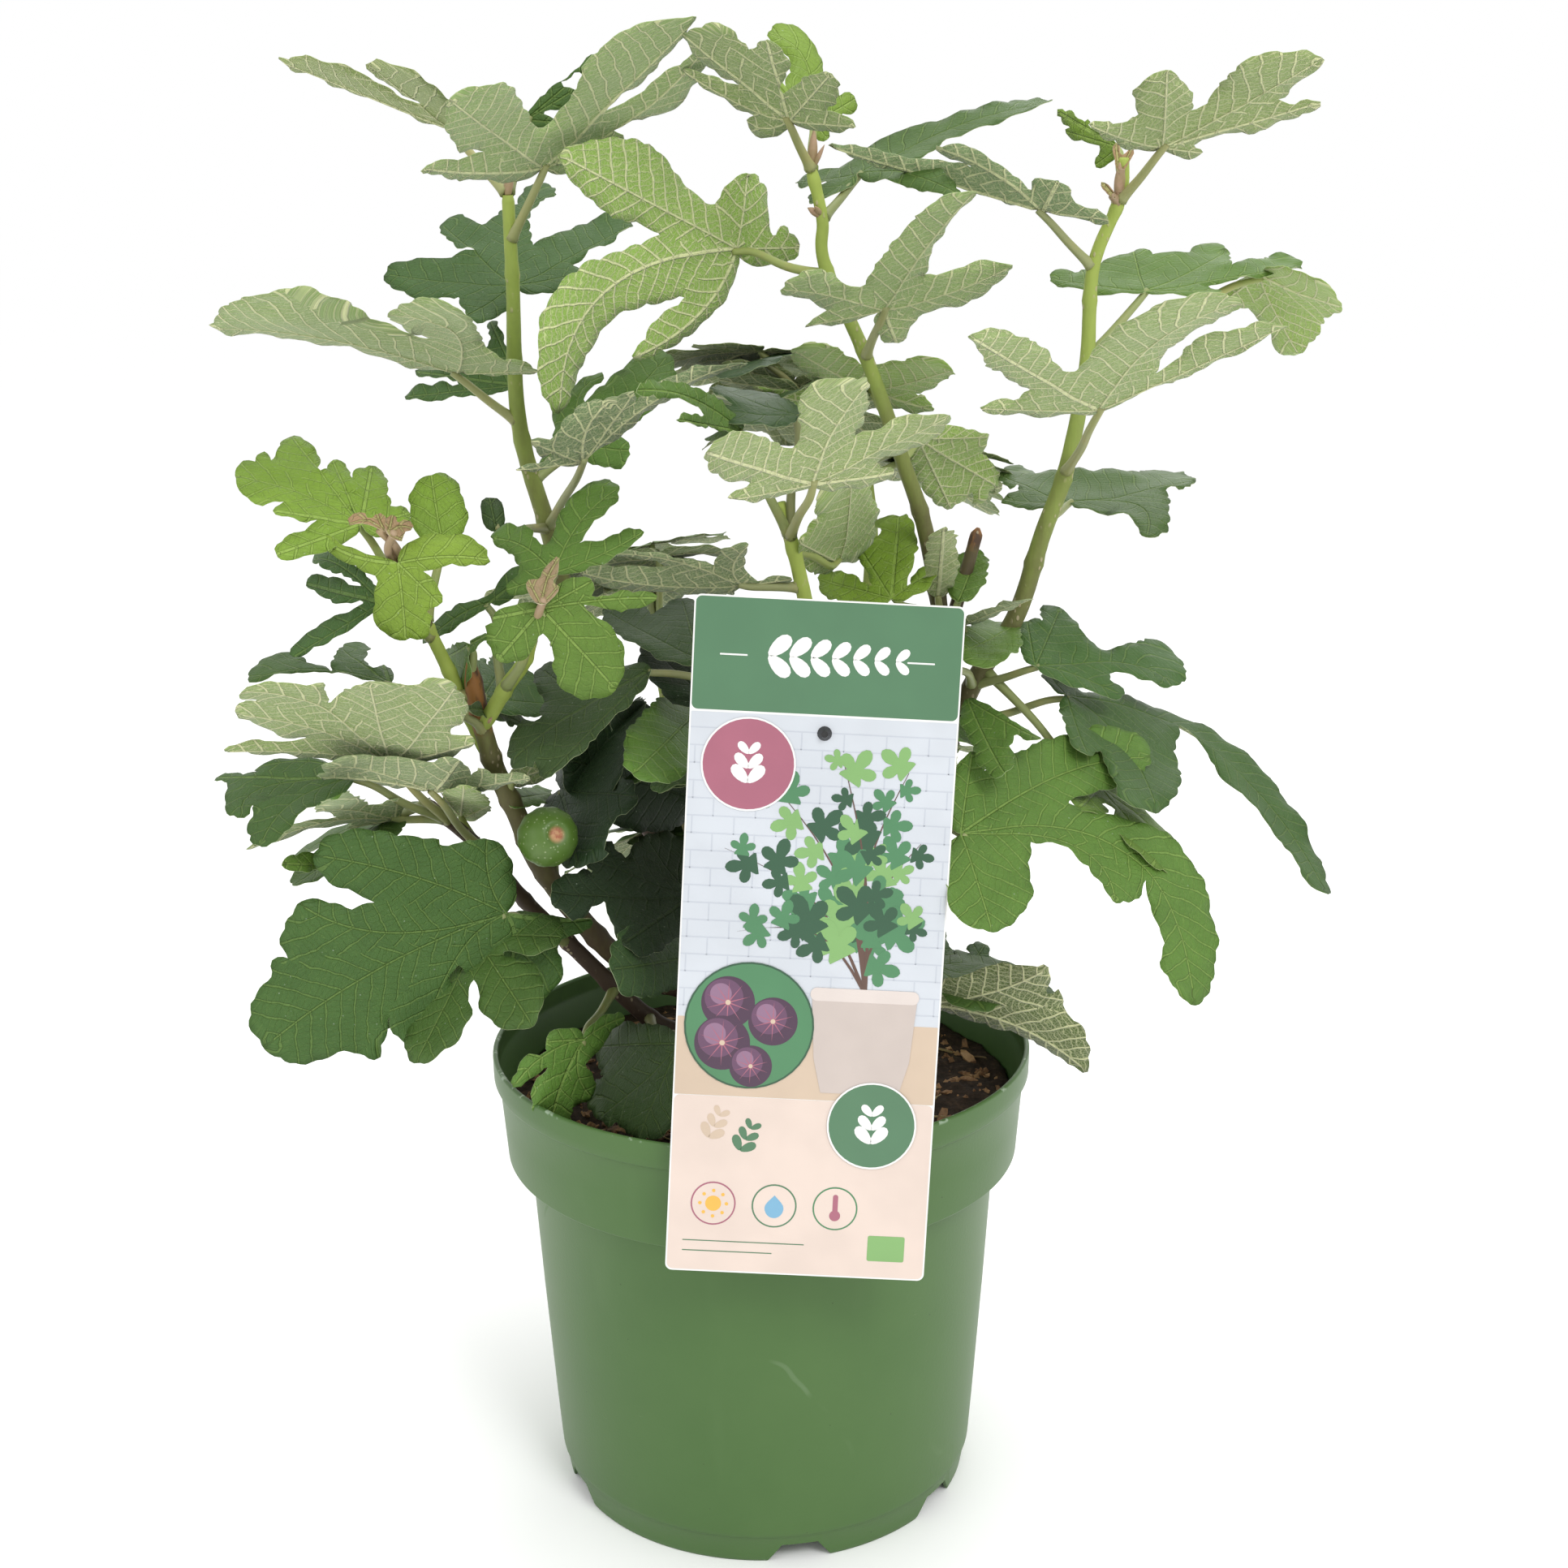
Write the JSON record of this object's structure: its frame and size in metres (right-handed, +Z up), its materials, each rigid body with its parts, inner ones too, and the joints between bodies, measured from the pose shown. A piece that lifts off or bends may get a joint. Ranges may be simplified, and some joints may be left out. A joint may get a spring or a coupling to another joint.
{
  "type": "potted fig tree",
  "caption": "Young fig tree in a round plastic nursery pot, with a printed care card on a stick.",
  "frame": {"origin": "on the pot's axis, in the plane that the pot stands on", "axes": "+Z up along the pot's axis; the side with the care card faces -Y"},
  "size_m": [0.4621, 0.301, 0.6124],
  "materials": {
    "pot_green": "satin moulded plastic with scuffs",
    "soil": "loose dark potting mix with wood chips",
    "bark": "olive to brown bark with leaf scars",
    "green_wood": "young green shoots",
    "foliage": "matt leaves, paler beneath",
    "card_print": "coated printed card",
    "stick_black": "plain black plastic"
  },
  "bodies": {
    "root": {"pot": "pot_green", "root_ball": "soil", "trunk": "bark", "bough_left_tall": "bark", "bough_left_low": "bark", "bough_left_pruned": "bark", "bough_right_tall": "bark", "bough_middle_tall": "bark", "stub_middle": "bark", "bough_middle_front": "bark", "bough_back_left": "bark", "bough_back_right": "bark", "shoot_left_front": "green_wood", "shoot_left_outer": "green_wood", "foliage_left_crown": "foliage", "foliage_left_crown_outer": "foliage", "foliage_left_back": "foliage", "foliage_left_reach": "foliage", "foliage_left_fork": "foliage", "foliage_middle_left": "foliage", "foliage_left_outer": "foliage", "foliage_left_front": "foliage", "foliage_left_low": "foliage", "foliage_left_skirt": "foliage", "foliage_left_hanging": "foliage", "foliage_inner_left": "foliage", "foliage_inner_top": "foliage", "foliage_inner_front": "foliage", "foliage_pot_left": "foliage", "foliage_middle_crown": "foliage", "foliage_middle_bridge": "foliage", "foliage_middle_upper": "foliage", "foliage_middle_front": "foliage", "foliage_middle_right": "foliage", "foliage_middle_low": "foliage", "foliage_right_crown": "foliage", "foliage_right_reach": "foliage", "foliage_right_front": "foliage", "foliage_right_back": "foliage", "foliage_right_low": "foliage", "foliage_right_hanging": "foliage", "foliage_right_skirt": "foliage", "foliage_right_pot": "foliage", "foliage_inner_right": "foliage", "foliage_back_left": "foliage", "foliage_back_right": "foliage", "foliage_back_top": "foliage", "foliage_back_low": "foliage", "foliage_back_skirt": "foliage", "label_card": "card_print", "label_stick": "stick_black"}
  },
  "joints": []
}
